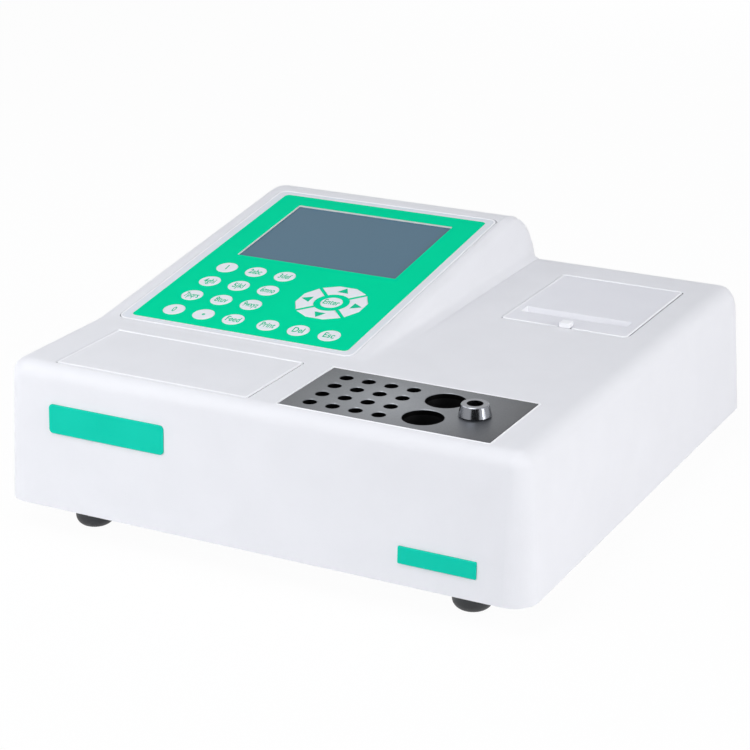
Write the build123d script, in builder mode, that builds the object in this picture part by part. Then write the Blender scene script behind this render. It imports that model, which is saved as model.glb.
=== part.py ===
from build123d import *
import math
import os

os.makedirs("parts", exist_ok=True)

# Benchtop coagulation analyzer. X to the right, Y to the back, Z up, in millimetres.
# The origin is on the bench, under the middle of the casing.

# Casing
foot_height = 18.0
shell_height = 84.5
rim_width = 331.4
rim_depth = 339.2
draft_share = 0.053
front_corner_radius = 14.5
edge_radius = 9.0
wall = 3.0
overrun = 5.0
fit_clearance = 0.05
hole_clearance = 0.1

# Console: a sloping desk that rises from the deck and rolls over into the back
panel_tilt = 8.387
bend_setback = 91.95
bend_reach = 3.0
console_back_radius = 34.4
deck_back_radius = 19.65
flank_margin = 1.1
flank_height = 28.5
flank_top_radius = 6.0
flank_foot_radius = 8.15
flank_lean = 79.6
flank_steps = 5
flank_inset_share = 0.5

# Control frame, measured from the left rim across the desk and from the bend up its slope
frame_left = 18.8
frame_right = 178.1
frame_front = 2.9
frame_back = 204.9
frame_corner = 5.0
frame_thickness = 2.5
frame_gap = 0.35
frame_bevel = 0.4
ledge_reach = 4.0
ledge_thickness = 2.5

# Green film and the window in it
film_left = 25.4
film_right = 172.3
film_front = 8.1
film_back = 198.9
film_corner = 3.0
film_thickness = 0.5
film_sink = 0.3
window_left = 42.8
window_right = 154.6
window_front = 104.2
window_back = 185.5
window_corner = 0.8
pane_lap = 3.0
pane_thickness = 2.0
pane_rise = 1.6

# Display module behind the pane
module_depth = 6.0
module_board_lap = 9.0
module_post_lap = 6.2
module_post_radius = 2.4
board_thickness = 1.6

# Keys
key_radius = 6.68
key_gap = 0.2
key_proud = 0.1
key_edge = 0.12
key_flange = 1.0
key_flange_reach = 0.8
key_seat_gap = 0.05
key_travel = 0.4
key_column = 46.8
key_row = 22.5
key_pitch_across = 20.7
key_pitch_along = 20.8
command_column = 111.9
command_pitch = 20.6
pad_x = 133.3
pad_s = 62.0
pad_sides = 12
pad_outer_radius = 22.3
pad_inner_radius = 11.2
pad_gap = 2.6
dome_height = 0.5
dome_radius = 3.0
dome_gap = 0.1
keypad_margin = 2.0
keypad_post_inset = 2.0
keypad_post_radius = 1.4

# Incubator plate and the blank plate beside it
plate_width = 125.0
plate_depth = 63.1
plate_gap = 0.3
plate_corner = 0.6
plate_ledge = 3.0
plate_margin = 91.96
plate_setback = 45.05
blank_margin = 95.05
blank_setback = 44.55
opening_edge = 0.6
bevel_angle = 45.0
blank_edge = 0.55
blank_thickness = 1.5
blank_gap = 0.35
small_well_radius = 3.95
small_well_pitch = 13.95
small_well_across = -48.59
small_well_along = -21.52
small_well_count = 4
large_well_radius = 11.45
large_well_across = 16.06
large_well_along = -14.45
large_well_pitch = 27.8
large_well_count = 2
well_depth = 36.0
well_bevel = 0.35
block_height = 40.0
block_side_gap = 0.5

# Measuring channel
channel_across = 39.53
channel_along = 0.12
channel_radius = 4.5
collar_base_radius = 9.05
collar_top_radius = 7.2
collar_height = 7.0
collar_foot = 0.9
collar_lip = 0.4
collar_stub_radius = 6.0
light_bore_radius = 2.5
light_bore_height = 13.0
light_holder_radius = 5.0
light_holder_length = 6.0
light_stub_length = 8.0
sensor_radius = 2.0
sensor_length = 28.0
sensor_head_radius = 3.2
sensor_head_length = 4.0
pad_thickness = 1.5
pad_inset = 1.0
pad_channel_gap = 17.0
motor_radius = 10.0
motor_height = 18.0
motor_gap = 4.5
motor_flange_width = 32.0
motor_flange_depth = 12.0
motor_flange = 2.0
motor_post_spread = 12.5
motor_post_radius = 2.0
magnet_length = 14.0
magnet_width = 5.0
magnet_height = 3.0
magnet_lift = 0.6
shaft_radius = 1.0
shaft_depth = 8.0

# Printer lid
lid_right_margin = 27.3
lid_width = 80.0
lid_back_margin = 44.0
lid_depth = 95.8
lid_seat_gap = 0.2
lid_gap = 0.4
lid_rear_gap = 0.6
lid_corner = 1.5
lid_big_corner = 4.0
lid_edge = 0.6
hinge_setback = 10.0
pin_radius = 1.25
pin_seat = 1.5
ear_radius = 2.7
ear_width = 5.0
ear_inset = 3.0
slot_left = 4.9
slot_width = 68.2
slot_front = 16.7
slot_depth = 10.7
slot_floor_width = 62.0
slot_floor_depth = 5.6
slot_drop = 6.0
slot_wall = 2.0
tooth_pitch = 1.45
tooth_length = 0.9
tooth_thickness = 0.9
tooth_count = 42

# Lid latch
latch_across = 41.1
latch_width = 6.6
latch_depth = 6.4
latch_height = 2.9
latch_overhang = 1.4
latch_lift = 0.3
latch_edge = 0.5
latch_stem_width = 4.4
latch_stem_depth = 1.5
latch_drop = 6.0
latch_nose = 0.5
latch_nose_height = 1.6
latch_keeper = 1.0
latch_keeper_reach = 1.0
latch_travel = 1.5
latch_gap = 0.2
latch_clear = 0.3
notch_width = 10.0
notch_depth = 1.2

# Printer tub and what is in it
tub_wall = 2.0
tub_flange = 6.0
tub_flange_thickness = 2.0
tub_floor_gap = 3.0
tub_rib = 2.1
tub_rib_height = 3.0
tub_rib_end = 20.0
tub_shelf = 36.6
tub_shelf_drop = 30.5
roll_radius = 20.0
roll_width = 57.0
roll_bore = 6.0
roll_drop = 28.0
roll_setback = 60.2
spindle_end_radius = 2.9
spindle_play = 0.1
spindle_collar = 3.0
spindle_seat = 1.2
spindle_end_gap = 0.2
platen_radius = 5.0
platen_length = 58.4
platen_drop = 18.0
platen_setback = 23.2
platen_shaft_radius = 1.5
platen_side_gap = 0.3
head_thickness = 7.5
head_gap = 0.5
head_rise = 7.5
head_base = 3.0
cheek_thickness = 3.0

# Front badges, from the rim upward along the front wall
badge_thickness = 1.2
badge_sink = 0.3
badge_edge = 0.35
badge_left_margin = 71.3
badge_left_up = 54.25
badge_left_width = 76.4
badge_left_height = 17.1
badge_left_corner = 2.5
badge_right_margin = 52.75
badge_right_up = 17.3
badge_right_width = 45.9
badge_right_height = 9.85
badge_right_corner = 0.8

# Base, feet and fixings
base_thickness = 2.0
base_lift = 2.0
base_gap = 0.5
base_corner = 10.5
foot_side_margin = 44.0
foot_end_margin = 27.6
foot_radius = 11.4
foot_round = 6.0
foot_neck_radius = 3.0
foot_barb_radius = 4.0
foot_barb_height = 2.5
vent_length = 34.0
vent_width = 3.5
vent_pitch = 9.0
vent_count = 7
vent_margin = 70.7
vent_back_margin = 99.6
post_radius = 6.0
post_sink = 1.0
post_height = 30.0
post_end_margin = 51.6
screw_radius = 1.5
screw_head_radius = 3.0
screw_head_height = 1.7
screw_length = 10.0
screw_socket_radius = 1.3
screw_socket_depth = 0.9
screw_end_gap = 0.6
stud_radius = 3.0
stud_height = 8.0
stud_inset = 5.0

# Boards
main_margin = 75.7
main_y = 0.0
main_width = 120.0
main_depth = 120.0
chip_width = 24.0
chip_height = 3.0
header_width = 40.0
header_depth = 8.0
header_height = 10.0
header_inset = 14.0
supply_gap = 5.0
supply_width = 100.0
supply_depth = 60.0
transformer_width = 34.0
transformer_depth = 30.0
transformer_height = 26.0
sink_width = 4.0
sink_depth = 44.0
sink_height = 28.0
sink_inset = 14.0
capacitor_radius = 9.0
capacitor_height = 25.0

# Rear opening, from the rim upward along the rear wall
rear_margin = 40.7
rear_low = 14.0
rear_high = 56.0
rear_corner = 5.0
rear_lap = 8.0
rear_thickness = 1.5

# Fan
fan_from_port_side = 105.0
fan_size = 40.0
fan_depth = 15.0
fan_bore = 19.0
fan_corner = 3.0
fan_hub_radius = 8.5
fan_spider = 2.0
fan_arm_width = 3.0
fan_arm_count = 3
fan_tip_gap = 0.7
fan_rotor_gap = 0.6
fan_blade_thickness = 1.2
fan_blade_width = 11.0
fan_blade_count = 7
fan_blade_angle = 55.0
fan_shaft_radius = 1.5
grille_hole_radius = 2.2
grille_ring_pitch = 5.6
grille_rings = 3
grille_ring_holes = 6

# Power entry, from the left as seen from behind: rocker, fuse drawer, inlet
entry_margin = 37.0
entry_flange_width = 64.0
entry_flange_height = 32.0
entry_flange = 2.5
entry_body_width = 58.0
entry_body_height = 27.0
entry_body_depth = 28.0
entry_corner = 2.0
rocker_shift = -21.0
rocker_width = 12.8
rocker_reach = 8.8
rocker_half_length = 8.3
rocker_valley = 3.8
rocker_end = 5.0
rocker_root = 4.0
rocker_pivot_depth = 4.0
rocker_swing = 8.0
rocker_pin_radius = 1.2
rocker_pin_length = 1.1
rocker_gap = 0.25
rocker_pocket_depth = 12.0
fuse_shift = -7.0
fuse_width = 8.6
fuse_height = 21.6
fuse_depth = 22.0
fuse_lip = 0.8
fuse_lip_reach = 0.9
fuse_gap = 0.2
fuse_cradle_radius = 2.7
fuse_cradle_length = 19.0
inlet_shift = 13.0
inlet_width = 24.4
inlet_height = 16.8
inlet_chamfer = 4.0
inlet_depth = 18.0
blade_width = 4.0
blade_thickness = 2.0
blade_length = 11.0
blade_spread = 7.0
blade_rise = 3.0

# Data socket
port_margin = 40.0
port_flange_width = 31.0
port_flange_height = 12.5
port_flange = 1.0
port_plug_width = 17.4
port_plug_height = 8.6
port_plug_slope = 1.4
port_proud = 3.8
port_body_width = 19.4
port_body_height = 10.0
port_body_depth = 10.0
port_hole_radius = 0.55
port_hole_depth = 4.0
port_hole_pitch = 2.77
port_row_pitch = 2.84
port_row_holes = 5

# Places that follow from the sizes above
rim_z = foot_height
deck_z = rim_z + shell_height
under_deck_z = deck_z - wall
lean = math.atan(draft_share)
draft_angle = math.degrees(lean)
tilt = math.radians(panel_tilt)
deck_back_y = rim_depth / 2 - draft_share * shell_height
bend_y = bend_setback - rim_depth / 2
desk_left = -rim_width / 2
desk_rise = math.tan(tilt) * (deck_back_y - bend_y)
flank_x = desk_left + frame_right + flank_margin
panel_plane = Plane(
    origin=(desk_left, bend_y, deck_z), x_dir=(1, 0, 0), z_dir=(0, -math.sin(tilt), math.cos(tilt))
)
panel_axis = Axis(panel_plane.origin, panel_plane.z_dir)
front_plane = Plane(
    origin=(0, -rim_depth / 2, rim_z), x_dir=(1, 0, 0), z_dir=(0, -math.cos(lean), math.sin(lean))
)
front_axis = Axis(front_plane.origin, front_plane.z_dir)
rear_plane = Plane(
    origin=(0, rim_depth / 2, rim_z), x_dir=(-1, 0, 0), z_dir=(0, math.cos(lean), math.sin(lean))
)
frame_edges = (frame_left, frame_right, frame_front, frame_back)
film_edges = (film_left, film_right, film_front, film_back)
window_edges = (window_left, window_right, window_front, window_back)
window_x = (window_left + window_right) / 2
window_s = (window_front + window_back) / 2
window_width = window_right - window_left
window_depth = window_back - window_front
pane_low = -frame_thickness - pane_thickness
module_low = pane_low - module_depth
key_top = film_thickness - film_sink + key_proud
key_low = -frame_thickness - key_seat_gap - key_flange
keypad_top = key_low - key_travel - dome_gap - dome_height
base_z = rim_z + base_lift
base_top = base_z + base_thickness
base_shrink = wall * math.sqrt(1 + draft_share**2) + draft_share * (base_lift + base_thickness) + base_gap
board_z = base_top + stud_height
main_x = main_margin - rim_width / 2
supply_x = main_x
supply_y = main_y + main_depth / 2 + supply_gap + supply_depth / 2
incubator_x = rim_width / 2 - plate_margin
incubator_y = plate_setback - rim_depth / 2
blank_x = blank_margin - rim_width / 2
blank_y = blank_setback - rim_depth / 2
small_well_x = incubator_x + small_well_across
small_well_y = incubator_y + small_well_along
large_well_x = incubator_x + large_well_across
large_well_y = incubator_y + large_well_along
channel_x = incubator_x + channel_across
channel_y = incubator_y + channel_along
block_low = under_deck_z - block_height
block_front = incubator_y - plate_depth / 2 + plate_ledge + block_side_gap
block_back = incubator_y + plate_depth / 2 - plate_ledge - block_side_gap
block_left = incubator_x - plate_width / 2 + plate_ledge + block_side_gap
block_right = incubator_x + plate_width / 2 - plate_ledge - block_side_gap
well_floor = deck_z - well_depth
light_z = well_floor + light_bore_height
pad_right = channel_x - pad_channel_gap
motor_top = block_low - motor_gap
lid_left = rim_width / 2 - lid_right_margin - lid_width
lid_rear = rim_depth / 2 - lid_back_margin
lid_front = lid_rear - lid_depth
lid_x = lid_left + lid_width / 2
latch_x = lid_left + latch_across
lid_thickness = wall - lid_seat_gap
slot_x = lid_left + slot_left + slot_width / 2
slot_y = lid_front + slot_front
pin_y = lid_rear - hinge_setback
pin_z = under_deck_z
bay_left = lid_left - lid_gap
bay_right = lid_left + lid_width + lid_gap
bay_front = lid_front - lid_gap
bay_rear = lid_rear + lid_rear_gap
pin_groove = (bay_left - pin_seat - hole_clearance, bay_right + pin_seat + hole_clearance)
latch_y = lid_front - latch_overhang + latch_depth / 2
stem_front = bay_front + tub_rib + latch_clear + latch_nose
roll_y = lid_front + roll_setback
roll_z = deck_z - roll_drop
tub_floor = roll_z - roll_radius - tub_floor_gap
tub_step = bay_front + tub_shelf
tub_shelf_z = deck_z - tub_shelf_drop
platen_y = lid_front + platen_setback
platen_z = deck_z - platen_drop
head_back = platen_y - platen_radius - head_gap
cheek_x = platen_length / 2 + platen_side_gap
post_x = rim_width / 2 - wall - draft_share * (base_lift + base_thickness) + post_sink - post_radius
post_y = rim_depth / 2 - post_end_margin
foot_x = rim_width / 2 - foot_side_margin
foot_y = rim_depth / 2 - foot_end_margin
vent_x = rim_width / 2 - vent_margin
vent_y = rim_depth / 2 - vent_back_margin
badge_left_x = badge_left_margin - rim_width / 2
badge_right_x = rim_width / 2 - badge_right_margin
rear_width = rim_width - 2 * rear_margin
entry_x = entry_margin - rear_width / 2
port_x = rear_width / 2 - port_margin
fan_x = rear_width / 2 - fan_from_port_side
rear_up = (rear_low + rear_high) / 2
rear_height = rear_high - rear_low
panel_back = -wall - rear_thickness
fan_place = rear_plane * Pos(-fan_x, rear_up, panel_back)
entry_place = rear_plane * Pos(-entry_x, rear_up, -wall)
port_place = rear_plane * Pos(-port_x, rear_up, -wall)
rocker_place = entry_place * Pos(rocker_shift, 0, entry_flange - rocker_pivot_depth) * Rot(0, 90, 0)
post_places = [(x, y) for x in (-post_x, post_x) for y in (-post_y, post_y)]
small_wells = [
    (small_well_x + small_well_pitch * column, small_well_y + small_well_pitch * row)
    for column in range(small_well_count)
    for row in range(small_well_count)
]
large_wells = [(large_well_x, large_well_y + large_well_pitch * row) for row in range(large_well_count)]
rear_screw_places = [
    rear_plane * Pos(side * (rear_width + rear_lap) / 2, up, -screw_head_height)
    for side in (-1, 1)
    for up in (rear_low - rear_lap / 2, rear_high + rear_lap / 2)
]

# Key places: name, place across, place up the slope, and the turn of an arrow key
key_places = []
for row, words in enumerate([("0", "dot", "feed"), ("7", "8", "9"), ("4", "5", "6"), ("1", "2", "3")]):
    for column, word in enumerate(words):
        across = key_column + key_pitch_across * column
        key_places.append(("key_" + word, across, key_row + key_pitch_along * row, None))
for column, word in enumerate(("print", "delete", "escape")):
    key_places.append(("key_" + word, command_column + command_pitch * column, key_row, None))
key_places.append(("key_enter", pad_x, pad_s, None))
for quarter, word in enumerate(("up", "left", "down", "right")):
    key_places.append(("key_" + word, pad_x, pad_s, 90 * quarter))


def side_view(x, rise_share, inset):
    """The casing's filled side view at x, where the desk rises by rise_share of its full slope."""
    slope = math.atan(math.tan(tilt) * rise_share)
    radius = deck_back_radius + (console_back_radius - deck_back_radius) * rise_share
    above = -radius - math.sin(slope) * bend_y
    behind = -radius + math.cos(lean) * deck_back_y
    turn = math.cos(slope - lean)
    centre_y = (math.cos(slope) * behind - math.sin(lean) * above) / turn
    centre_z = deck_z + (math.sin(slope) * behind + math.cos(lean) * above) / turn
    bend = bend_y + inset * math.tan(slope / 2)
    top = deck_z - inset
    front = -rim_depth
    rise = (bend + bend_reach * math.cos(slope), top + bend_reach * math.sin(slope))
    arc = [
        (centre_y + (radius - inset) * math.cos(angle), centre_z + (radius - inset) * math.sin(angle))
        for angle in (math.pi / 2 + slope, math.pi / 4 + (slope + lean) / 2, lean)
    ]
    foot = (arc[2][0] + draft_share * (arc[2][1] - rim_z), rim_z)
    with BuildSketch(Plane.YZ.offset(x)) as view:
        with BuildLine():
            Line((front, rim_z), (front, top))
            Line((front, top), (bend - bend_reach, top))
            Bezier((bend - bend_reach, top), (bend, top), rise)
            Line(rise, arc[0])
            ThreePointArc(*arc)
            Line(arc[2], foot)
            Line(foot, (front, rim_z))
        make_face()
    return view.sketch


def flank_places(inset):
    """Places across the console's right flank, each with the share of the full rise left there."""
    steep = math.radians(flank_lean)
    angles = [steep * step / (flank_steps - 1) for step in range(flank_steps)]
    top = [
        (flank_top_radius * math.sin(angle), flank_height - flank_top_radius * (1 - math.cos(angle)))
        for angle in angles
    ]
    straight = top[-1][1] - flank_foot_radius * (1 - math.cos(steep))
    foot_end = top[-1][0] + straight / math.tan(steep) + flank_foot_radius * math.sin(steep)
    foot = [
        (foot_end - flank_foot_radius * math.sin(angle), flank_foot_radius * (1 - math.cos(angle)))
        for angle in reversed(angles)
    ]
    start = flank_x - inset * flank_inset_share
    return [(start + x, height / flank_height) for x, height in top + foot]


def casing_form(inset):
    """The solid form of the casing, or of the hollow that lies inset behind its surface."""
    side = inset * math.sqrt(1 + draft_share**2)
    with BuildPart() as block:
        with BuildSketch(Plane.XY.offset(rim_z)) as footprint:
            with Locations((0, overrun / 2)):
                Rectangle(rim_width - 2 * side, rim_depth - 2 * side + overrun)
            fillet(footprint.vertices().group_by(Axis.Y)[0], front_corner_radius - side)
        extrude(amount=shell_height + desk_rise + 2 * overrun, taper=draft_angle)
    places = flank_places(inset)
    with BuildPart() as form:
        extrude(side_view(places[0][0], 1, inset), amount=-rim_width)
        loft([side_view(x, share, inset) for x, share in places])
        extrude(side_view(places[-1][0], 0, inset), amount=rim_width)
        add(block.part, mode=Mode.INTERSECT)
        fillet(form.faces().sort_by(Axis.Y)[0].edges().sort_by(Axis.Z)[-1], edge_radius - inset)
    return form.part


def rounded(place, width, depth, radius):
    """A rounded rectangle about a place."""
    with BuildSketch(place) as outline:
        RectangleRounded(width, depth, radius)
    return outline.sketch


def on_panel(edges, radius, height, grow):
    """A rounded rectangle on the desk, grown by a clearance, at a height from its surface."""
    left, right, front, back = edges
    place = panel_plane * Pos((left + right) / 2, (front + back) / 2, height)
    return rounded(place, right - left + 2 * grow, back - front + 2 * grow, radius + grow)


def key_outline(key, height, grow):
    """A key's outline on the desk: a circle, or a quarter of the twelve-sided ring."""
    name, across, along, turn = key
    half_step = 180 / pad_sides
    tip = (pad_gap / 2 - grow) * math.sqrt(2)
    reach = 2 * pad_outer_radius
    with BuildSketch(panel_plane * Pos(across, along, height) * Rot(0, 0, turn or 0)) as outline:
        if turn is None:
            Circle(key_radius + grow)
        else:
            RegularPolygon(
                pad_outer_radius + grow / math.cos(math.radians(half_step)), pad_sides, rotation=half_step
            )
            Circle(pad_inner_radius - grow, mode=Mode.SUBTRACT)
            Polygon((0, tip), (reach, tip + reach), (-reach, tip + reach), align=None, mode=Mode.INTERSECT)
    return outline.sketch


def lid_outline(height, grow, rear_grow):
    """The lid's outline, with a larger corner at the front right."""
    with BuildSketch(Plane.XY.offset(height)) as outline:
        with Locations((lid_x, (lid_front + lid_rear + rear_grow - grow) / 2)):
            Rectangle(lid_width + 2 * grow, lid_depth + grow + rear_grow)
        fillet(outline.vertices().group_by(Axis.Y)[0].sort_by(Axis.X)[-1], lid_big_corner + grow)
        fillet(outline.vertices().group_by(Axis.Y)[0].sort_by(Axis.X)[0], lid_corner + grow)
        fillet(outline.vertices().group_by(Axis.Y)[-1], lid_corner + grow)
    return outline.sketch


def slot_outline(share, grow):
    """A level cut through the paper slot, from its rim at share 0 to its floor at share 1."""
    width = slot_width + (slot_floor_width - slot_width) * share + 2 * grow
    depth = slot_depth + (slot_floor_depth - slot_depth) * share
    with BuildSketch(Plane.XY.offset(deck_z - slot_drop * share)) as outline:
        with Locations((slot_x, slot_y + depth / 2)):
            Rectangle(width, depth + 2 * grow)
    return outline.sketch


def pin_bar(left, right, radius):
    """A round bar along the lid's hinge line."""
    with BuildPart() as bar:
        with BuildSketch(Plane.YZ.offset(left)):
            with Locations((pin_y, pin_z)):
                Circle(radius)
        extrude(amount=right - left)
    return bar.part


# Upper housing: one moulded shell
with BuildPart() as upper_housing:
    add(casing_form(0))
    add(casing_form(wall), mode=Mode.SUBTRACT)
    # ledge under the control frame, and the frame's seat
    ledge_low = -frame_thickness - ledge_thickness
    extrude(on_panel(frame_edges, frame_corner, ledge_low, ledge_reach), amount=ledge_thickness)
    extrude(
        on_panel(frame_edges, frame_corner, -frame_thickness, frame_gap),
        amount=frame_thickness + overrun,
        mode=Mode.SUBTRACT,
    )
    extrude(
        on_panel(frame_edges, frame_corner, ledge_low - overrun, -ledge_reach),
        amount=frame_thickness + ledge_thickness + 2 * overrun,
        mode=Mode.SUBTRACT,
    )
    # ledge under the incubator plate, and the plate's opening
    incubator_place = Plane.XY * Pos(incubator_x, incubator_y, under_deck_z - ledge_thickness)
    extrude(
        rounded(incubator_place, plate_width + 2 * plate_ledge, plate_depth + 2 * plate_ledge, plate_ledge),
        amount=ledge_thickness,
    )
    extrude(
        rounded(incubator_place, plate_width - 2 * plate_ledge, plate_depth - 2 * plate_ledge, plate_corner),
        amount=ledge_thickness + wall + overrun,
        both=True,
        mode=Mode.SUBTRACT,
    )
    extrude(
        rounded(
            Plane.XY * Pos(incubator_x, incubator_y, under_deck_z),
            plate_width + 2 * plate_gap,
            plate_depth + 2 * plate_gap,
            plate_corner + plate_gap,
        ),
        amount=wall + overrun,
        mode=Mode.SUBTRACT,
    )
    extrude(
        rounded(
            Plane.XY * Pos(incubator_x, incubator_y, deck_z - opening_edge),
            plate_width + 2 * plate_gap,
            plate_depth + 2 * plate_gap,
            plate_corner + plate_gap,
        ),
        amount=opening_edge + hole_clearance,
        taper=-bevel_angle,
        mode=Mode.SUBTRACT,
    )
    # pocket for the blank plate
    extrude(
        rounded(
            Plane.XY * Pos(blank_x, blank_y, deck_z - blank_thickness),
            plate_width + 2 * blank_gap,
            plate_depth + 2 * blank_gap,
            plate_corner + blank_gap,
        ),
        amount=blank_thickness + overrun,
        mode=Mode.SUBTRACT,
    )
    extrude(
        rounded(
            Plane.XY * Pos(blank_x, blank_y, deck_z - blank_edge),
            plate_width + 2 * blank_gap,
            plate_depth + 2 * blank_gap,
            plate_corner + blank_gap,
        ),
        amount=blank_edge + hole_clearance,
        taper=-bevel_angle,
        mode=Mode.SUBTRACT,
    )
    # opening for the printer lid, and the groove that traps its hinge pin
    extrude(
        lid_outline(under_deck_z - overrun, lid_gap, lid_rear_gap),
        amount=wall + 2 * overrun,
        mode=Mode.SUBTRACT,
    )
    extrude(
        lid_outline(deck_z - opening_edge, lid_gap, lid_rear_gap),
        amount=opening_edge + hole_clearance,
        taper=-bevel_angle,
        mode=Mode.SUBTRACT,
    )
    add(pin_bar(*pin_groove, pin_radius + fit_clearance), mode=Mode.SUBTRACT)
    # rear opening and the counterbored holes of the rear panel's screws
    extrude(
        rounded(rear_plane * Pos(0, rear_up, -wall - overrun), rear_width, rear_height, rear_corner),
        amount=wall + 2 * overrun,
        mode=Mode.SUBTRACT,
    )
    with Locations(*rear_screw_places):
        Cylinder(
            screw_head_radius + hole_clearance,
            screw_head_height + overrun,
            align=(Align.CENTER, Align.CENTER, Align.MIN),
            mode=Mode.SUBTRACT,
        )
        Cylinder(screw_radius + hole_clearance, 2 * wall, mode=Mode.SUBTRACT)
    # seats of the badges
    extrude(
        rounded(
            front_plane * Pos(badge_left_x, badge_left_up, -badge_sink),
            badge_left_width + 2 * hole_clearance,
            badge_left_height + 2 * hole_clearance,
            badge_left_corner,
        ),
        amount=badge_sink + overrun,
        mode=Mode.SUBTRACT,
    )
    extrude(
        rounded(
            front_plane * Pos(badge_right_x, badge_right_up, -badge_sink),
            badge_right_width + 2 * hole_clearance,
            badge_right_height + 2 * hole_clearance,
            badge_right_corner,
        ),
        amount=badge_sink + overrun,
        mode=Mode.SUBTRACT,
    )
    # screw posts along the side walls
    with BuildSketch(Plane.XY.offset(base_top)):
        with Locations(*post_places):
            Circle(post_radius)
    extrude(amount=post_height)
    with BuildSketch(Plane.XY.offset(base_top)):
        with Locations(*post_places):
            Circle(screw_radius + hole_clearance)
    extrude(amount=screw_length - base_thickness + screw_end_gap, mode=Mode.SUBTRACT)
upper_housing.part.label = "upper_housing"
export_step(upper_housing.part, "parts/upper_housing.step")

# Base plate: steel sheet with pressed studs and cooling slots
stud_places = [
    (x + side * (width / 2 - stud_inset), y + end * (depth / 2 - stud_inset))
    for x, y, width, depth in (
        (main_x, main_y, main_width, main_depth),
        (supply_x, supply_y, supply_width, supply_depth),
    )
    for side in (-1, 1)
    for end in (-1, 1)
]
foot_places = {
    "foot_front_left": (-foot_x, -foot_y),
    "foot_front_right": (foot_x, -foot_y),
    "foot_rear_left": (-foot_x, foot_y),
    "foot_rear_right": (foot_x, foot_y),
}
with BuildPart() as base_plate:
    extrude(
        rounded(
            Plane.XY.offset(base_z), rim_width - 2 * base_shrink, rim_depth - 2 * base_shrink, base_corner
        ),
        amount=base_thickness,
    )
    with BuildSketch(Plane.XY.offset(base_top)):
        with Locations(*stud_places):
            Circle(stud_radius)
    extrude(amount=stud_height)
    with BuildSketch(Plane.XY.offset(board_z)):
        with Locations(*stud_places):
            Circle(screw_radius + hole_clearance)
    extrude(amount=board_thickness - screw_length - screw_end_gap, mode=Mode.SUBTRACT)
    with BuildSketch(Plane.XY.offset(base_z)):
        with Locations(*post_places):
            Circle(screw_radius + hole_clearance)
        with Locations(*foot_places.values()):
            Circle(foot_neck_radius + hole_clearance)
        with Locations((vent_x, vent_y), (main_x, main_y)):
            with GridLocations(0, vent_pitch, 1, vent_count):
                SlotOverall(vent_length, vent_width)
    extrude(amount=base_thickness, mode=Mode.SUBTRACT)
base_plate.part.label = "base_plate"
export_step(base_plate.part, "parts/base_plate.step")

# Feet: domed rubber, pushed into the base plate by a barbed neck
for name, place in foot_places.items():
    with BuildPart() as foot:
        with BuildSketch():
            with Locations(place):
                Circle(foot_radius)
        extrude(amount=base_z)
        fillet(foot.edges().sort_by(Axis.Z)[0], foot_round)
        with BuildSketch(Plane.XY.offset(base_z)):
            with Locations(place):
                Circle(foot_neck_radius)
        extrude(amount=base_thickness)
        with BuildSketch(Plane.XY.offset(base_top)):
            with Locations(place):
                Circle(foot_barb_radius)
        extrude(amount=foot_barb_height, taper=draft_angle)
    foot.part.label = name
    export_step(foot.part, f"parts/{name}.step")

# Badges on the front wall
with BuildPart() as badge_left:
    extrude(
        rounded(
            front_plane * Pos(badge_left_x, badge_left_up, -badge_sink),
            badge_left_width,
            badge_left_height,
            badge_left_corner,
        ),
        amount=badge_thickness,
    )
    chamfer(badge_left.faces().sort_by(front_axis)[-1].edges(), badge_edge)
badge_left.part.label = "badge_left"
export_step(badge_left.part, "parts/badge_left.step")

with BuildPart() as badge_right:
    extrude(
        rounded(
            front_plane * Pos(badge_right_x, badge_right_up, -badge_sink),
            badge_right_width,
            badge_right_height,
            badge_right_corner,
        ),
        amount=badge_thickness,
    )
    chamfer(badge_right.faces().sort_by(front_axis)[-1].edges(), badge_edge)
badge_right.part.label = "badge_right"
export_step(badge_right.part, "parts/badge_right.step")

# Blank plate at the front left of the deck
with BuildPart() as blank_plate:
    extrude(
        rounded(
            Plane.XY * Pos(blank_x, blank_y, deck_z - blank_thickness), plate_width, plate_depth, plate_corner
        ),
        amount=blank_thickness,
    )
    chamfer(blank_plate.faces().sort_by(Axis.Z)[-1].edges(), blank_edge)
blank_plate.part.label = "blank_plate"
export_step(blank_plate.part, "parts/blank_plate.step")

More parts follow.
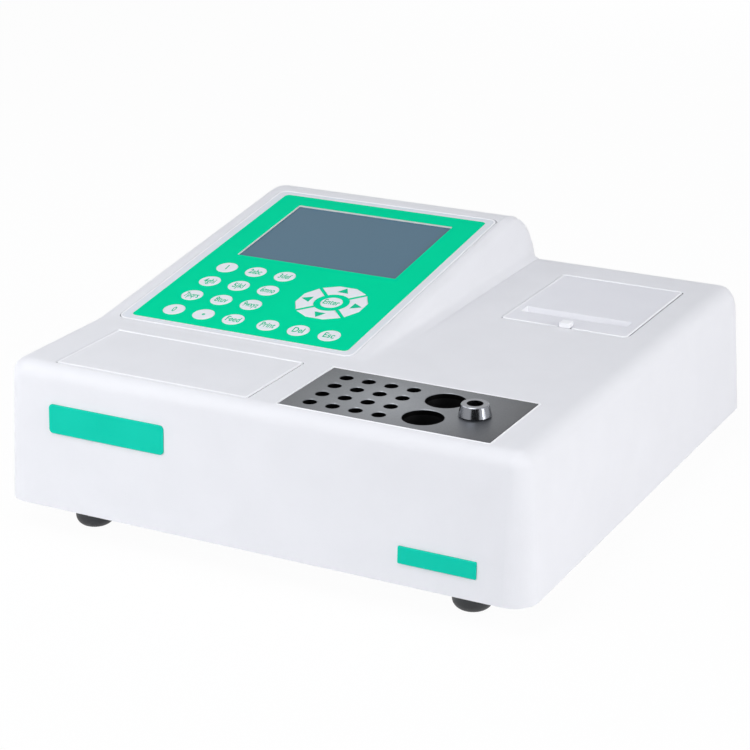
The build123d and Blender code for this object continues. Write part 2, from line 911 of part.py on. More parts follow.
# Control frame: let into the desk, with the window, the key openings and the posts behind it
post_reach_x = window_width / 2 + module_post_lap
post_reach_s = window_depth / 2 + module_post_lap
module_posts = [
    (window_x + side * post_reach_x, window_s + end * post_reach_s) for side in (-1, 1) for end in (-1, 1)
]
keypad_reach = key_radius + key_flange_reach + keypad_margin
keypad_left = key_column - keypad_reach
keypad_right = command_column + 2 * command_pitch + keypad_reach
keypad_front = key_row - keypad_reach
keypad_back = key_row + 3 * key_pitch_along + keypad_reach
keypad_posts = [
    (x, s)
    for x in (keypad_left + keypad_post_inset, keypad_right - keypad_post_inset)
    for s in (keypad_front + keypad_post_inset, keypad_back - keypad_post_inset)
]
with BuildPart() as control_frame:
    extrude(on_panel(frame_edges, frame_corner, -frame_thickness, 0), amount=frame_thickness)
    chamfer(control_frame.faces().sort_by(panel_axis)[-1].edges(), frame_bevel)
    extrude(on_panel(film_edges, film_corner, -film_sink, hole_clearance), amount=overrun, mode=Mode.SUBTRACT)
    extrude(
        on_panel(window_edges, window_corner, -frame_thickness - overrun, 0),
        amount=frame_thickness + 2 * overrun,
        mode=Mode.SUBTRACT,
    )
    for key in key_places:
        extrude(
            key_outline(key, -frame_thickness - overrun, key_gap),
            amount=frame_thickness + 2 * overrun,
            mode=Mode.SUBTRACT,
        )
    with BuildSketch(panel_plane.offset(-frame_thickness)):
        with Locations(*module_posts):
            Circle(module_post_radius)
    extrude(amount=-pane_thickness - module_depth)
    with BuildSketch(panel_plane.offset(-frame_thickness)):
        with Locations(*keypad_posts):
            Circle(keypad_post_radius)
    extrude(amount=keypad_top + frame_thickness)
control_frame.part.label = "control_frame"
export_step(control_frame.part, "parts/control_frame.step")

# Green front film
with BuildPart() as membrane_overlay:
    extrude(on_panel(film_edges, film_corner, -film_sink, 0), amount=film_thickness)
    extrude(on_panel(window_edges, window_corner, -overrun, 0), amount=2 * overrun, mode=Mode.SUBTRACT)
    for key in key_places:
        extrude(key_outline(key, -overrun, key_gap), amount=2 * overrun, mode=Mode.SUBTRACT)
membrane_overlay.part.label = "membrane_overlay"
export_step(membrane_overlay.part, "parts/membrane_overlay.step")

# Clear pane behind the window, with a raised middle that fills it
with BuildPart() as display_window:
    extrude(on_panel(window_edges, window_corner, pane_low, pane_lap), amount=pane_thickness)
    extrude(on_panel(window_edges, window_corner, -frame_thickness, -hole_clearance), amount=pane_rise)
display_window.part.label = "display_window"
export_step(display_window.part, "parts/display_window.step")

# Display module: a boxed screen on its own board
with BuildPart() as lcd_module:
    extrude(on_panel(window_edges, window_corner, module_low, pane_lap), amount=module_depth)
    extrude(
        on_panel(window_edges, window_corner, module_low - board_thickness, module_board_lap),
        amount=board_thickness,
    )
lcd_module.part.label = "lcd_module"
export_step(lcd_module.part, "parts/lcd_module.step")

# Keypad board with a dome switch under each key
with BuildPart() as keypad_board:
    extrude(
        on_panel(
            (keypad_left, keypad_right, keypad_front, keypad_back),
            keypad_post_radius,
            keypad_top - board_thickness,
            0,
        ),
        amount=board_thickness,
    )
    for name, across, along, turn in key_places:
        offset = 0 if turn is None else (pad_inner_radius + pad_outer_radius) / 2
        with BuildSketch(panel_plane * Pos(across, along, keypad_top) * Rot(0, 0, turn or 0)):
            with Locations((0, offset)):
                Circle(dome_radius)
        extrude(amount=dome_height)
keypad_board.part.label = "keypad_board"
export_step(keypad_board.part, "parts/keypad_board.step")

# Keys: each passes the frame and the film and is held by its flange
for key_place in key_places:
    with BuildPart() as key:
        extrude(key_outline(key_place, key_low, 0), amount=key_top - key_low)
        chamfer(key.faces().sort_by(panel_axis)[-1].edges(), key_edge)
        extrude(key_outline(key_place, key_low, key_flange_reach), amount=key_flange)
    key.part.label = key_place[0]
    export_step(key.part, f"parts/{key_place[0]}.step")

# Incubator plate: flush in the deck, bored over the wells and the measuring channel
with BuildPart() as incubator_plate:
    extrude(
        rounded(
            Plane.XY * Pos(incubator_x, incubator_y, under_deck_z), plate_width, plate_depth, plate_corner
        ),
        amount=wall,
    )
    with BuildSketch(Plane.XY.offset(under_deck_z)):
        with Locations(*small_wells):
            Circle(small_well_radius)
        with Locations(*large_wells):
            Circle(large_well_radius)
        with Locations((channel_x, channel_y)):
            Circle(collar_stub_radius + hole_clearance)
    extrude(amount=wall, mode=Mode.SUBTRACT)
    rims = incubator_plate.faces().sort_by(Axis.Z)[-1].inner_wires().edges()
    chamfer([rim for rim in rims if rim.radius in (small_well_radius, large_well_radius)], well_bevel)
incubator_plate.part.label = "incubator_plate"
export_step(incubator_plate.part, "parts/incubator_plate.step")

# Heating block: hangs under the plate, with blind wells and the light bore across the channel
with BuildPart() as heating_block:
    with BuildSketch(Plane.XY.offset(block_low)):
        with Locations(((block_left + block_right) / 2, (block_front + block_back) / 2)):
            Rectangle(block_right - block_left, block_back - block_front)
    extrude(amount=block_height)
    with BuildSketch(Plane.XY.offset(well_floor)):
        with Locations(*small_wells):
            Circle(small_well_radius)
        with Locations(*large_wells):
            Circle(large_well_radius)
        with Locations((channel_x, channel_y)):
            Circle(channel_radius)
    extrude(amount=well_depth, mode=Mode.SUBTRACT)
    with BuildSketch(Plane.XZ.offset(-block_front)):
        with Locations((channel_x, light_z)):
            Circle(light_bore_radius)
    extrude(amount=block_front - block_back, mode=Mode.SUBTRACT)
    with BuildSketch(Plane.YZ.offset(block_left)):
        with Locations((incubator_y, (block_low + well_floor) / 2)):
            Circle(sensor_radius + hole_clearance)
    extrude(amount=sensor_length + hole_clearance, mode=Mode.SUBTRACT)
heating_block.part.label = "heating_block"
export_step(heating_block.part, "parts/heating_block.step")

# Heater pad under the block
with BuildPart() as heater_pad:
    with BuildSketch(Plane.XY.offset(block_low - pad_thickness)):
        with Locations(((block_left + pad_inset + pad_right) / 2, (block_front + block_back) / 2)):
            Rectangle(pad_right - block_left - pad_inset, block_back - block_front - 2 * pad_inset)
    extrude(amount=pad_thickness)
heater_pad.part.label = "heater_pad"
export_step(heater_pad.part, "parts/heater_pad.step")

# Temperature sensor in the block's floor
with BuildPart() as temperature_sensor:
    with BuildSketch(Plane.YZ.offset(block_left)):
        with Locations((incubator_y, (block_low + well_floor) / 2)):
            Circle(sensor_radius)
    extrude(amount=sensor_length)
    with BuildSketch(Plane.YZ.offset(block_left)):
        with Locations((incubator_y, (block_low + well_floor) / 2)):
            Circle(sensor_head_radius)
    extrude(amount=-sensor_head_length)
temperature_sensor.part.label = "temperature_sensor"
export_step(temperature_sensor.part, "parts/temperature_sensor.step")

# Optical detector: lamp holder in front of the block, photodiode holder behind it
with BuildPart() as optical_detector:
    for face_y, outward in ((block_front, -1), (block_back, 1)):
        with BuildSketch(Plane.XZ.offset(-face_y)):
            with Locations((channel_x, light_z)):
                Circle(light_holder_radius)
        extrude(amount=-outward * light_holder_length)
        with BuildSketch(Plane.XZ.offset(-face_y)):
            with Locations((channel_x, light_z)):
                Circle(light_bore_radius - hole_clearance)
        extrude(amount=outward * light_stub_length)
optical_detector.part.label = "optical_detector"
export_step(optical_detector.part, "parts/optical_detector.step")

# Measuring collar: a conical steel ring on the plate, with a stub in the plate's bore
with BuildPart() as measuring_collar:
    with BuildSketch(Plane.XZ * Pos(channel_x, deck_z, -channel_y)):
        with BuildLine():
            Polyline(
                (channel_radius, -wall),
                (collar_stub_radius, -wall),
                (collar_stub_radius, 0),
                (collar_base_radius - collar_foot, 0),
                (collar_base_radius, collar_foot),
                (collar_top_radius + collar_lip, collar_height - collar_lip),
                (collar_top_radius, collar_height),
                (channel_radius, collar_height),
                close=True,
            )
        make_face()
    revolve(axis=Axis((channel_x, channel_y, 0), (0, 0, 1)))
measuring_collar.part.label = "measuring_collar"
export_step(measuring_collar.part, "parts/measuring_collar.step")

# Stirrer motor, hung from the block by two posts
with BuildPart() as stirrer_motor:
    with BuildSketch(Plane.XY.offset(motor_top)):
        with Locations((channel_x, channel_y)):
            Circle(motor_radius)
    extrude(amount=-motor_height)
    extrude(
        rounded(
            Plane.XY * Pos(channel_x, channel_y, motor_top),
            motor_flange_width,
            motor_flange_depth,
            motor_post_radius,
        ),
        amount=-motor_flange,
    )
    with BuildSketch(Plane.XY.offset(motor_top)):
        with Locations((channel_x - motor_post_spread, channel_y), (channel_x + motor_post_spread, channel_y)):
            Circle(motor_post_radius)
    extrude(amount=motor_gap)
    with BuildSketch(Plane.XY.offset(motor_top)):
        with Locations((channel_x, channel_y)):
            Circle(shaft_radius + fit_clearance)
    extrude(amount=-shaft_depth - hole_clearance, mode=Mode.SUBTRACT)
stirrer_motor.part.label = "stirrer_motor"
export_step(stirrer_motor.part, "parts/stirrer_motor.step")

# Stirrer magnet on its shaft
with BuildPart() as stirrer_magnet:
    with BuildSketch(Plane.XY.offset(motor_top + magnet_lift)):
        with Locations((channel_x, channel_y)):
            Rectangle(magnet_length, magnet_width)
    extrude(amount=magnet_height)
    with BuildSketch(Plane.XY.offset(motor_top + magnet_lift)):
        with Locations((channel_x, channel_y)):
            Circle(shaft_radius)
    extrude(amount=-magnet_lift - shaft_depth)
stirrer_magnet.part.label = "stirrer_magnet"
export_step(stirrer_magnet.part, "parts/stirrer_magnet.step")

# Printer lid: slab with the paper slot, its tear teeth and two hinge ears
stem_slot_depth = latch_stem_depth + latch_travel + 2 * latch_gap
with BuildPart() as printer_lid:
    extrude(lid_outline(deck_z - lid_thickness, 0, 0), amount=lid_thickness)
    fillet(printer_lid.faces().sort_by(Axis.Z)[-1].edges(), lid_edge)
    loft([slot_outline(0, slot_wall), slot_outline(1, slot_wall)])
    loft([slot_outline(0, 0), slot_outline(1, 0)], mode=Mode.SUBTRACT)
    extrude(slot_outline(0, 0), amount=overrun, mode=Mode.SUBTRACT)
    # saw-toothed tear edge at the front of the slot
    with BuildSketch(Plane.XY.offset(deck_z - tooth_thickness)):
        with BuildLine():
            teeth_left = slot_x - tooth_count * tooth_pitch / 2
            teeth = [(teeth_left, slot_y)]
            for step in range(tooth_count):
                teeth.append((teeth_left + tooth_pitch * (step + 0.5), slot_y + tooth_length))
                teeth.append((teeth_left + tooth_pitch * (step + 1), slot_y))
            Polyline(*teeth, (teeth[-1][0], slot_y - slot_wall), (teeth_left, slot_y - slot_wall), close=True)
        make_face()
    extrude(amount=tooth_thickness)
    # hinge ears and the groove for the pin
    for ear_left in (lid_left + ear_inset, lid_left + lid_width - ear_inset - ear_width):
        with BuildSketch(Plane.YZ.offset(ear_left)):
            with Locations((pin_y, pin_z)):
                Circle(ear_radius)
            with Locations((pin_y, pin_z + ear_radius / 2)):
                Rectangle(2 * ear_radius, ear_radius)
        extrude(amount=ear_width)
    add(pin_bar(bay_left, bay_right, pin_radius + fit_clearance), mode=Mode.SUBTRACT)
    # opening for the latch's stem, and the notch in the front edge
    with BuildSketch(Plane.XY.offset(under_deck_z)):
        with Locations((latch_x, stem_front - latch_gap + stem_slot_depth / 2)):
            Rectangle(latch_stem_width + 2 * latch_gap, stem_slot_depth)
        with Locations((latch_x, lid_front)):
            Rectangle(notch_width, 2 * notch_depth)
    extrude(amount=wall + overrun, mode=Mode.SUBTRACT)
printer_lid.part.label = "printer_lid"
export_step(printer_lid.part, "parts/printer_lid.step")

# Lid latch: finger tab, stem through the lid, keeper under it and a nose at the tub's rim
keeper_top = deck_z - lid_thickness - latch_clear
with BuildPart() as lid_latch:
    with BuildSketch(Plane.XY.offset(deck_z + latch_lift)):
        with Locations((latch_x, latch_y)):
            Rectangle(latch_width, latch_depth)
    extrude(amount=latch_height)
    fillet(lid_latch.edges().filter_by(Axis.Z), latch_edge)
    fillet(lid_latch.faces().sort_by(Axis.Z)[-1].edges(), latch_edge)
    with BuildSketch(Plane.XY.offset(deck_z - latch_drop)):
        with Locations((latch_x, stem_front + latch_stem_depth / 2)):
            Rectangle(latch_stem_width, latch_stem_depth)
    extrude(amount=latch_drop + latch_lift)
    with BuildSketch(Plane.XY.offset(keeper_top)):
        with Locations((latch_x, stem_front + (latch_stem_depth + latch_keeper_reach) / 2)):
            Rectangle(latch_stem_width + 2 * latch_keeper_reach, latch_stem_depth + latch_keeper_reach)
    extrude(amount=-latch_keeper)
    with BuildSketch(Plane.XY.offset(deck_z - latch_drop)):
        with Locations((latch_x, stem_front - latch_nose / 2)):
            Rectangle(latch_stem_width, latch_nose)
    extrude(amount=latch_nose_height)
lid_latch.part.label = "lid_latch"
export_step(lid_latch.part, "parts/lid_latch.step")

# Hinge pin, trapped between the deck and the tub
with BuildPart() as lid_hinge_pin:
    add(pin_bar(bay_left - pin_seat, bay_right + pin_seat, pin_radius))
lid_hinge_pin.part.label = "lid_hinge_pin"
export_step(lid_hinge_pin.part, "parts/lid_hinge_pin.step")

# Printer tub: stepped bay under the lid, with a rim that carries the lid
bay_width = bay_right - bay_left
bay_depth = bay_rear - bay_front
rib_depth = bay_depth - tub_rib_end
with BuildPart() as printer_tub:
    with BuildSketch(Plane.YZ.offset(bay_left - tub_wall)):
        with BuildLine():
            Polyline(
                (bay_front - tub_wall, under_deck_z),
                (bay_front - tub_wall, tub_shelf_z - tub_wall),
                (tub_step - tub_wall, tub_shelf_z - tub_wall),
                (tub_step - tub_wall, tub_floor - tub_wall),
                (bay_rear + tub_wall, tub_floor - tub_wall),
                (bay_rear + tub_wall, under_deck_z),
                close=True,
            )
        make_face()
    extrude(amount=bay_width + 2 * tub_wall)
    with BuildSketch(Plane.XY.offset(under_deck_z)):
        with Locations((lid_x, (bay_front + bay_rear) / 2)):
            Rectangle(bay_width + 2 * tub_wall + 2 * tub_flange, bay_depth + 2 * tub_wall + 2 * tub_flange)
    extrude(amount=-tub_flange_thickness)
    with BuildSketch(Plane.YZ.offset(bay_left)):
        with BuildLine():
            Polyline(
                (bay_front, under_deck_z),
                (bay_front, tub_shelf_z),
                (tub_step, tub_shelf_z),
                (tub_step, tub_floor),
                (bay_rear, tub_floor),
                (bay_rear, under_deck_z),
                close=True,
            )
        make_face()
    extrude(amount=bay_width, mode=Mode.SUBTRACT)
    with BuildSketch(Plane.XY.offset(under_deck_z)):
        with Locations((lid_x, bay_front + rib_depth / 2)):
            Rectangle(bay_width, rib_depth)
        with Locations((lid_x, bay_front + rib_depth / 2 + tub_rib)):
            Rectangle(bay_width - 2 * tub_rib, rib_depth, mode=Mode.SUBTRACT)
    extrude(amount=-tub_rib_height)
    # seats of the spindle's ends, open upward, and of the hinge pin
    with BuildSketch(Plane.YZ.offset(bay_left - spindle_seat)):
        with Locations((roll_y, roll_z)):
            Circle(spindle_end_radius + spindle_play)
        with Locations((roll_y, (roll_z + under_deck_z) / 2)):
            Rectangle(2 * (spindle_end_radius + spindle_play), under_deck_z - roll_z)
    extrude(amount=bay_width + 2 * spindle_seat, mode=Mode.SUBTRACT)
    add(pin_bar(*pin_groove, pin_radius + fit_clearance), mode=Mode.SUBTRACT)
printer_tub.part.label = "printer_tub"
export_step(printer_tub.part, "parts/printer_tub.step")

# Paper roll on its spindle
with BuildPart() as paper_roll:
    with BuildSketch(Plane.YZ.offset(lid_x - roll_width / 2)):
        with Locations((roll_y, roll_z)):
            Circle(roll_radius)
            Circle(roll_bore, mode=Mode.SUBTRACT)
    extrude(amount=roll_width)
paper_roll.part.label = "paper_roll"
export_step(paper_roll.part, "parts/paper_roll.step")

spindle_width = roll_width + 2 * spindle_collar
spindle_length = bay_width + 2 * spindle_seat - 2 * spindle_end_gap
with BuildPart() as paper_spindle:
    with BuildSketch(Plane.YZ.offset(lid_x - spindle_width / 2)):
        with Locations((roll_y, roll_z)):
            Circle(roll_bore - spindle_play)
    extrude(amount=spindle_width)
    with BuildSketch(Plane.YZ.offset(lid_x - spindle_length / 2)):
        with Locations((roll_y, roll_z)):
            Circle(spindle_end_radius)
    extrude(amount=spindle_length)
paper_spindle.part.label = "paper_spindle"
export_step(paper_spindle.part, "parts/paper_spindle.step")

# Platen roller with its shaft
shaft_length = platen_length + 2 * platen_side_gap + 2 * cheek_thickness
with BuildPart() as platen_roller:
    with BuildSketch(Plane.YZ.offset(lid_x - platen_length / 2)):
        with Locations((platen_y, platen_z)):
            Circle(platen_radius)
    extrude(amount=platen_length)
    with BuildSketch(Plane.YZ.offset(lid_x - shaft_length / 2)):
        with Locations((platen_y, platen_z)):
            Circle(platen_shaft_radius)
    extrude(amount=shaft_length)
platen_roller.part.label = "platen_roller"
export_step(platen_roller.part, "parts/platen_roller.step")

# Print head: thermal bar, base and the two cheeks that carry the platen
head_front = head_back - head_thickness
cheek_back = platen_y + platen_radius
head_top = platen_z + head_rise
with BuildPart() as print_head:
    with BuildSketch(Plane.YZ.offset(lid_x - cheek_x - cheek_thickness)):
        with Locations(((head_front + cheek_back) / 2, (tub_shelf_z + head_top) / 2)):
            Rectangle(cheek_back - head_front, head_top - tub_shelf_z)
    extrude(amount=2 * cheek_x + 2 * cheek_thickness)
    with BuildSketch(Plane.YZ.offset(lid_x - cheek_x)):
        with Locations(((head_back + cheek_back + overrun) / 2, (tub_shelf_z + head_base + deck_z) / 2)):
            Rectangle(cheek_back + overrun - head_back, deck_z - tub_shelf_z - head_base)
    extrude(amount=2 * cheek_x, mode=Mode.SUBTRACT)
    with BuildSketch(Plane.YZ.offset(lid_x - cheek_x - cheek_thickness)):
        with Locations((platen_y, platen_z)):
            Circle(platen_shaft_radius + fit_clearance)
    extrude(amount=2 * cheek_x + 2 * cheek_thickness, mode=Mode.SUBTRACT)
print_head.part.label = "print_head"
export_step(print_head.part, "parts/print_head.step")

# Main board with its processor and connectors
with BuildPart() as main_board:
    with BuildSketch(Plane.XY.offset(board_z)):
        with Locations((main_x, main_y)):
            Rectangle(main_width, main_depth)
        with Locations(*stud_places[:4]):
            Circle(screw_radius + hole_clearance, mode=Mode.SUBTRACT)
    extrude(amount=board_thickness)
    with BuildSketch(Plane.XY.offset(board_z + board_thickness)):
        with Locations((main_x, main_y)):
            with GridLocations(2 * chip_width, 2 * chip_width, 2, 2):
                Rectangle(chip_width, chip_width)
    extrude(amount=chip_height)
    with BuildSketch(Plane.XY.offset(board_z + board_thickness)):
        with Locations((main_x, main_y)):
            with GridLocations(0, main_depth - header_inset, 1, 2):
                Rectangle(header_width, header_depth)
    extrude(amount=header_height)
main_board.part.label = "main_board"
export_step(main_board.part, "parts/main_board.step")

# Power supply board with transformer, heat sink and capacitor
with BuildPart() as power_supply:
    with BuildSketch(Plane.XY.offset(board_z)):
        with Locations((supply_x, supply_y)):
            Rectangle(supply_width, supply_depth)
        with Locations(*stud_places[4:]):
            Circle(screw_radius + hole_clearance, mode=Mode.SUBTRACT)
    extrude(amount=board_thickness)
    with BuildSketch(Plane.XY.offset(board_z + board_thickness)):
        with Locations((supply_x, supply_y)):
            Rectangle(transformer_width, transformer_depth)
    extrude(amount=transformer_height)
    with BuildSketch(Plane.XY.offset(board_z + board_thickness)):
        with Locations((supply_x + supply_width / 2 - sink_inset, supply_y)):
            Rectangle(sink_width, sink_depth)
    extrude(amount=sink_height)
    with BuildSketch(Plane.XY.offset(board_z + board_thickness)):
        with Locations((supply_x - (transformer_width + supply_width) / 4, supply_y)):
            Circle(capacitor_radius)
    extrude(amount=capacitor_height)
power_supply.part.label = "power_supply"
export_step(power_supply.part, "parts/power_supply.step")

# Rear panel behind the rear opening, with its cut-outs and the fan grille
with BuildPart() as rear_panel:
    extrude(
        rounded(
            rear_plane * Pos(0, rear_up, panel_back),
            rear_width + 2 * rear_lap,
            rear_height + 2 * rear_lap,
            rear_corner,
        ),
        amount=rear_thickness,
    )
    extrude(
        rounded(
            entry_place * Pos(0, 0, -rear_thickness),
            entry_body_width + 2 * hole_clearance,
            entry_body_height + 2 * hole_clearance,
            entry_corner,
        ),
        amount=rear_thickness,
        mode=Mode.SUBTRACT,
    )
    extrude(
        rounded(
            port_place * Pos(0, 0, -rear_thickness),
            port_body_width + 2 * hole_clearance,
            port_body_height + 2 * hole_clearance,
            entry_corner,
        ),
        amount=rear_thickness,
        mode=Mode.SUBTRACT,
    )
    with BuildSketch(fan_place):
        Circle(grille_hole_radius)
        for ring in range(1, grille_rings + 1):
            with PolarLocations(grille_ring_pitch * ring, grille_ring_holes * ring):
                Circle(grille_hole_radius)
    extrude(amount=rear_thickness, mode=Mode.SUBTRACT)
    with Locations(*rear_screw_places):
        Cylinder(screw_radius + hole_clearance, 2 * (wall + rear_thickness), mode=Mode.SUBTRACT)
rear_panel.part.label = "rear_panel"
export_step(rear_panel.part, "parts/rear_panel.step")

# Fan frame with the motor hub on its arms
with BuildPart() as fan_frame:
    extrude(rounded(fan_place, fan_size, fan_size, fan_corner), amount=-fan_depth)
    with BuildSketch(fan_place):
        Circle(fan_bore)
    extrude(amount=-fan_depth, mode=Mode.SUBTRACT)
    with BuildSketch(fan_place * Pos(0, 0, -fan_depth)):
        Circle(fan_hub_radius)
        with PolarLocations(fan_bore / 2, fan_arm_count):
            Rectangle(fan_bore + fan_arm_width / 4, fan_arm_width)
        Circle(fan_shaft_radius + fit_clearance, mode=Mode.SUBTRACT)
    extrude(amount=fan_spider)
fan_frame.part.label = "fan_frame"
export_step(fan_frame.part, "parts/fan_frame.step")

# Fan rotor: hub, shaft and pitched blades
rotor_depth = fan_depth - fan_spider - 2 * fan_rotor_gap
rotor_place = fan_place * Pos(0, 0, -fan_rotor_gap)
with BuildPart() as fan_rotor:
    for blade in range(fan_blade_count):
        turn = Rot(0, 0, 360 / fan_blade_count * blade)
        root = rotor_place * turn * Pos(fan_hub_radius / 2, 0, -rotor_depth / 2) * Rot(0, 90, 0)
        with BuildSketch(root):
            Rectangle(fan_blade_width, fan_blade_thickness, rotation=fan_blade_angle)
        extrude(amount=fan_bore)
    with BuildSketch(rotor_place * Pos(0, 0, -rotor_depth)):
        Circle(fan_bore - fan_tip_gap)
    extrude(amount=rotor_depth, mode=Mode.INTERSECT)
    with BuildSketch(rotor_place):
        Circle(fan_hub_radius)
    extrude(amount=-rotor_depth)
    with BuildSketch(rotor_place * Pos(0, 0, -rotor_depth)):
        Circle(fan_shaft_radius)
    extrude(amount=-fan_rotor_gap - fan_spider)
fan_rotor.part.label = "fan_rotor"
export_step(fan_rotor.part, "parts/fan_rotor.step")

# Power inlet module: flange and body with the pockets of the rocker, the fuse drawer and the plug
rocker_pocket = 2 * (rocker_reach + rocker_gap)
with BuildPart() as power_inlet:
    extrude(rounded(entry_place, entry_flange_width, entry_flange_height, entry_corner), amount=entry_flange)
    extrude(rounded(entry_place, entry_body_width, entry_body_height, entry_corner), amount=-entry_body_depth)
    with BuildSketch(entry_place * Pos(rocker_shift, 0, entry_flange)):
        Rectangle(rocker_width + 2 * rocker_gap, rocker_pocket)
    extrude(amount=-rocker_pocket_depth, mode=Mode.SUBTRACT)
    with BuildSketch(rocker_place * Pos(0, 0, -rocker_width / 2 - rocker_pin_length - rocker_gap)):
        Circle(rocker_pin_radius + fit_clearance)
    extrude(amount=rocker_width + 2 * (rocker_pin_length + rocker_gap), mode=Mode.SUBTRACT)
    with BuildSketch(entry_place * Pos(fuse_shift, 0, entry_flange)):
        Rectangle(fuse_width + 2 * fuse_gap, fuse_height + 2 * fuse_gap)
    extrude(amount=-fuse_depth - fuse_gap, mode=Mode.SUBTRACT)
    with BuildSketch(entry_place * Pos(inlet_shift, 0, entry_flange)) as recess:
        Rectangle(inlet_width, inlet_height)
        chamfer(recess.vertices().group_by(Axis.Y)[-1], inlet_chamfer)
    extrude(amount=-inlet_depth, mode=Mode.SUBTRACT)
    with BuildSketch(entry_place * Pos(inlet_shift, 0, entry_flange - inlet_depth)):
        with Locations((-blade_spread, -blade_rise), (0, blade_rise), (blade_spread, -blade_rise)):
            Rectangle(blade_thickness, blade_width)
    extrude(amount=blade_length)
power_inlet.part.label = "power_inlet"
export_step(power_inlet.part, "parts/power_inlet.step")

# Rocker of the power switch, drawn in its off position
with BuildPart() as power_switch:
    with BuildSketch(rocker_place * Rot(0, 0, rocker_swing) * Pos(0, 0, -rocker_width / 2)):
        Polygon(
            (-rocker_valley, 0),
            (-rocker_end, rocker_half_length),
            (rocker_root, rocker_half_length),
            (rocker_root, -rocker_half_length),
            (-rocker_end, -rocker_half_length),
            align=None,
        )
        Circle(rocker_reach, mode=Mode.INTERSECT)
    extrude(amount=rocker_width)
    with BuildSketch(rocker_place * Pos(0, 0, -rocker_width / 2 - rocker_pin_length)):
        Circle(rocker_pin_radius)
    extrude(amount=rocker_width + 2 * rocker_pin_length)
power_switch.part.label = "power_switch"
export_step(power_switch.part, "parts/power_switch.step")

# Fuse drawer
with BuildPart() as fuse_drawer:
    with BuildSketch(entry_place * Pos(fuse_shift, 0, entry_flange)):
        Rectangle(fuse_width, fuse_height)
    extrude(amount=-fuse_depth)
    with BuildSketch(entry_place * Pos(fuse_shift, 0, entry_flange)):
        Rectangle(fuse_width + 2 * fuse_lip_reach, fuse_height + 2 * fuse_lip_reach)
    extrude(amount=fuse_lip)
    cradle_place = entry_place * Pos(fuse_shift, -fuse_cradle_length / 2, entry_flange - fuse_depth / 2)
    with BuildSketch(cradle_place * Rot(-90, 0, 0)):
        Circle(fuse_cradle_radius)
        with Locations((fuse_width / 4, 0)):
            Rectangle(fuse_width, 2 * fuse_cradle_radius)
    extrude(amount=fuse_cradle_length, mode=Mode.SUBTRACT)
fuse_drawer.part.label = "fuse_drawer"
export_step(fuse_drawer.part, "parts/fuse_drawer.step")

# Data socket: flange, body and the D-shaped plug with its contact holes
port_holes = [
    (port_hole_pitch * (step - (port_row_holes - row - 1) / 2), port_row_pitch * (0.5 - row))
    for row in range(2)
    for step in range(port_row_holes - row)
]
with BuildPart() as serial_port:
    extrude(rounded(port_place, port_flange_width, port_flange_height, entry_corner), amount=port_flange)
    extrude(rounded(port_place, port_body_width, port_body_height, entry_corner), amount=-port_body_depth)
    with BuildSketch(port_place * Pos(0, 0, port_flange)) as plug:
        Polygon(
            (-port_plug_width / 2, port_plug_height / 2),
            (port_plug_width / 2, port_plug_height / 2),
            (port_plug_width / 2 - port_plug_slope, -port_plug_height / 2),
            (-port_plug_width / 2 + port_plug_slope, -port_plug_height / 2),
            align=None,
        )
        fillet(plug.vertices(), port_plug_slope)
    extrude(amount=port_proud)
    with BuildSketch(port_place * Pos(0, 0, port_flange + port_proud)):
        with Locations(*port_holes):
            Circle(port_hole_radius)
    extrude(amount=-port_hole_depth, mode=Mode.SUBTRACT)
serial_port.part.label = "serial_port"
export_step(serial_port.part, "parts/serial_port.step")

# Screws: one shape for the base, the boards and the rear panel
with BuildPart() as one_screw:
    with BuildSketch():
        Circle(screw_radius)
    extrude(amount=-screw_length)
    with BuildSketch():
        Circle(screw_head_radius)
    extrude(amount=screw_head_height)
    with BuildSketch(Plane.XY.offset(screw_head_height)):
        RegularPolygon(screw_socket_radius, 6)
    extrude(amount=-screw_socket_depth, mode=Mode.SUBTRACT)
screw_places = [Pos(x, y, board_z + board_thickness) for x, y in stud_places]
screw_places += [Pos(x, y, base_z) * Rot(180, 0, 0) for x, y in post_places]
screw_places += rear_screw_places
with BuildPart() as screws:
    with Locations(*screw_places):
        add(one_screw.part)
screws.part.label = "screws"
export_step(screws.part, "parts/screws.step")
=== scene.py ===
import bpy
import math
from mathutils import Matrix, Vector


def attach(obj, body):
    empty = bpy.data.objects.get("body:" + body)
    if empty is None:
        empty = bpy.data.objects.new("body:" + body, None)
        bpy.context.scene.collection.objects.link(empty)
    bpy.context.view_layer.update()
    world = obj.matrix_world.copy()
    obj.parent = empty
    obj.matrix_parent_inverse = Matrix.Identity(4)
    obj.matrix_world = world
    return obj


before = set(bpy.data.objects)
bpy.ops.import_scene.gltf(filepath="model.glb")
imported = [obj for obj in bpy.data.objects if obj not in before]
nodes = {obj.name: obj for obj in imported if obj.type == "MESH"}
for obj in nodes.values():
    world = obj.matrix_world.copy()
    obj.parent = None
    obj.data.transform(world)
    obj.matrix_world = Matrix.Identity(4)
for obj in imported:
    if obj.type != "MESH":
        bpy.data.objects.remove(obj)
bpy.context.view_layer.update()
bpy.ops.object.select_all(action="DESELECT")
scene = bpy.context.scene
scene.view_settings.view_transform = "Standard"

MM = 0.001
# Height of the casing's flat deck in mm, and where the sloping desk's plane comes down to it
DECK = 102.5
DESK_FRONT = -77.65
DESK_SLOPE = math.radians(8.387)
# Middle of the ring of arrow keys, across and up the desk in mm
RING = (-32.4, 62.0)
# How far the key caps stand out of the desk, and how thick the ink on them is
KEY_TOP = 0.3 * MM
INK = 0.06 * MM
WHITE = (1.0, 1.0, 1.0, 1.0)

